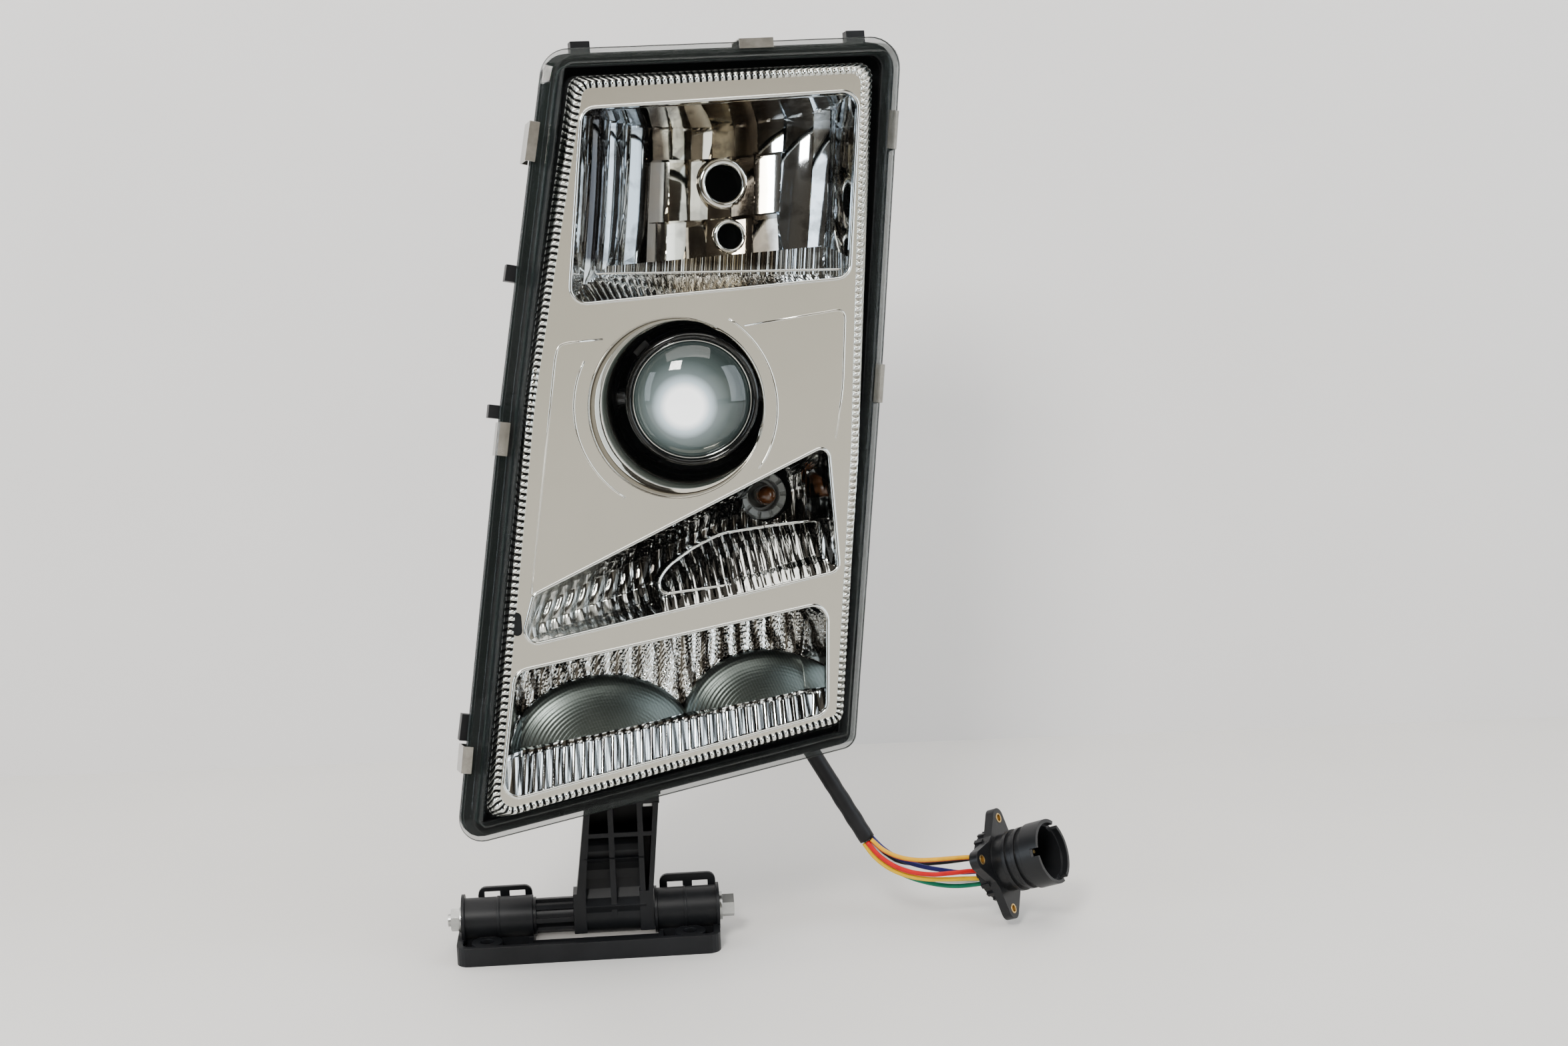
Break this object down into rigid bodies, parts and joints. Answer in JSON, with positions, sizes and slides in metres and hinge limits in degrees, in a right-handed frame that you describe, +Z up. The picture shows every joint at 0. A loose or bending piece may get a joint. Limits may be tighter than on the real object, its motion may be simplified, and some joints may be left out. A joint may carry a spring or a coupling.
{
  "type": "headlight assembly",
  "caption": "Tall slant-sided vehicle headlamp: fluted glass lens, chrome compartments, round projector, bottom hinge bracket with bolt, and a short harness ending in a flanged connector.",
  "frame": {"origin": "centre of the four fixing holes, on the underside of the hinge bracket", "axes": "+X along the hinge bolt towards its head, lamp faces -Y, +Z up"},
  "size_m": [0.3994, 0.2358, 0.5691],
  "materials": {
    "black_casting": "glass-filled nylon, satin",
    "bush_plastic": "satin",
    "zinc_steel": "zinc plated",
    "connector_plastic": "satin",
    "brass": "turned",
    "seal_rubber": "matte",
    "wire_yellow": "satin insulation",
    "wire_red": "satin insulation",
    "wire_striped": "satin insulation, striped",
    "wire_blue": "satin insulation",
    "wire_black": "satin insulation",
    "wire_green": "satin insulation",
    "wire_white": "satin insulation",
    "housing_plastic": "fine grain",
    "lens_glass": "clear, moulded flutes at the edge",
    "clip_steel": "spring steel",
    "chrome_plastic": "vacuum metallised",
    "grey_metal": "die cast",
    "projector_glass": "polished",
    "dark_metal": "black",
    "white_plastic": "satin",
    "quartz": "clear",
    "amber_glass": "amber",
    "grey_plastic": "satin"
  },
  "bodies": {
    "bracket": {"base_bracket": "black_casting", "spacer_bush": "bush_plastic", "thrust_washer": "bush_plastic", "hinge_bolt": "zinc_steel", "nut_washer": "zinc_steel", "hinge_nut": "zinc_steel", "connector_shell": "connector_plastic", "connector_bushes": "brass", "connector_insert": "connector_plastic", "connector_contacts": "brass", "connector_seal": "seal_rubber", "wire_yellow": "wire_yellow", "wire_red": "wire_red", "wire_striped": "wire_striped", "wire_blue": "wire_blue", "wire_black": "wire_black", "wire_green": "wire_green", "wire_white": "wire_white"},
    "lamp": {"hinge_arm": "black_casting", "arm_bush": "zinc_steel", "arm_screws": "zinc_steel", "housing": "housing_plastic", "lens_seal": "seal_rubber", "lens": "lens_glass", "lens_clips": "clip_steel", "bezel": "chrome_plastic", "bezel_plug": "grey_plastic", "main_reflector": "chrome_plastic", "turn_reflector": "chrome_plastic", "lower_reflector": "chrome_plastic", "projector_dish": "chrome_plastic", "pivot_post": "grey_plastic", "level_motor": "housing_plastic", "ballast": "grey_metal", "ballast_screws": "zinc_steel", "breathers": "seal_rubber", "cable_gland": "seal_rubber", "harness_sleeve": "seal_rubber", "cover_seals": "seal_rubber", "holder_seal": "seal_rubber"},
    "carrier": {"projector_frame": "grey_plastic", "pivot_pins": "zinc_steel"},
    "projector": {"lens_holder": "grey_metal", "projector_lens": "projector_glass", "lens_ring": "dark_metal", "shutter": "grey_metal", "projector_bowl": "grey_metal", "xenon_burner": "quartz", "igniter": "grey_plastic"},
    "levelling rod": {"level_rod": "white_plastic"},
    "side screw": {"side_screw": "white_plastic"},
    "height screw": {"height_screw": "white_plastic"},
    "projector cover": {"projector_cover": "housing_plastic"},
    "main cover": {"main_cover": "housing_plastic"},
    "turn lamp holder": {"turn_bulb_holder": "grey_plastic", "turn_bulb": "amber_glass"}
  },
  "joints": [
    {"name": "lamp_tilt", "type": "hinge", "parent": "bracket", "child": "lamp", "pos_m": [0, 0, 0.021], "axis": [1, 0, 0], "range_deg": [0, 35], "deforming": ["harness_sleeve", "wire_yellow", "wire_red", "wire_striped", "wire_blue", "wire_black", "wire_green", "wire_white"]},
    {"name": "side_aim", "type": "hinge", "parent": "lamp", "child": "carrier", "pos_m": [0.0385, -0.0065, 0.3505], "axis": [0, 0, 1], "range_deg": [-1, 1]},
    {"name": "side_screw_turn", "type": "hinge", "parent": "lamp", "child": "side screw", "pos_m": [0.1355, 0.05, 0.3775], "axis": [0, -1, 0], "range_deg": [-410, 410]},
    {"name": "height_screw_turn", "type": "hinge", "parent": "lamp", "child": "height screw", "pos_m": [0.0195, 0.03, 0.3445], "axis": [0, -1, 0], "range_deg": [-360, 360]},
    {"name": "beam_level", "type": "hinge", "parent": "carrier", "child": "projector", "pos_m": [0.0785, 0.001, 0.3505], "axis": [1, 0, 0], "range_deg": [-2.5, 2.5]},
    {"name": "level_rod_slide", "type": "slide", "parent": "lamp", "child": "levelling rod", "axis": [0, -1, 0], "range_m": [-0.0025, 0.0025]},
    {"name": "projector_cover_turn", "type": "hinge", "parent": "lamp", "child": "projector cover", "pos_m": [0.07706, 0.09671, 0.34941], "axis": [-0.2059, 0.9686, -0.1392], "range_deg": [0, 35]},
    {"name": "main_cover_turn", "type": "hinge", "parent": "lamp", "child": "main cover", "pos_m": [0.09606, 0.11554, 0.45239], "axis": [-0.2059, 0.9686, -0.1392], "range_deg": [0, 35]},
    {"name": "turn_holder_turn", "type": "hinge", "parent": "lamp", "child": "turn lamp holder", "pos_m": [0.11379, 0.04896, 0.27888], "axis": [-0.2059, 0.9686, -0.1392], "range_deg": [0, 30]}
  ],
  "couplings": [
    {"joint": "side_screw_turn", "follows": "side_aim", "ratio": 406.31},
    {"joint": "level_rod_slide", "follows": "beam_level", "m_per_rad": 0.05}
  ]
}
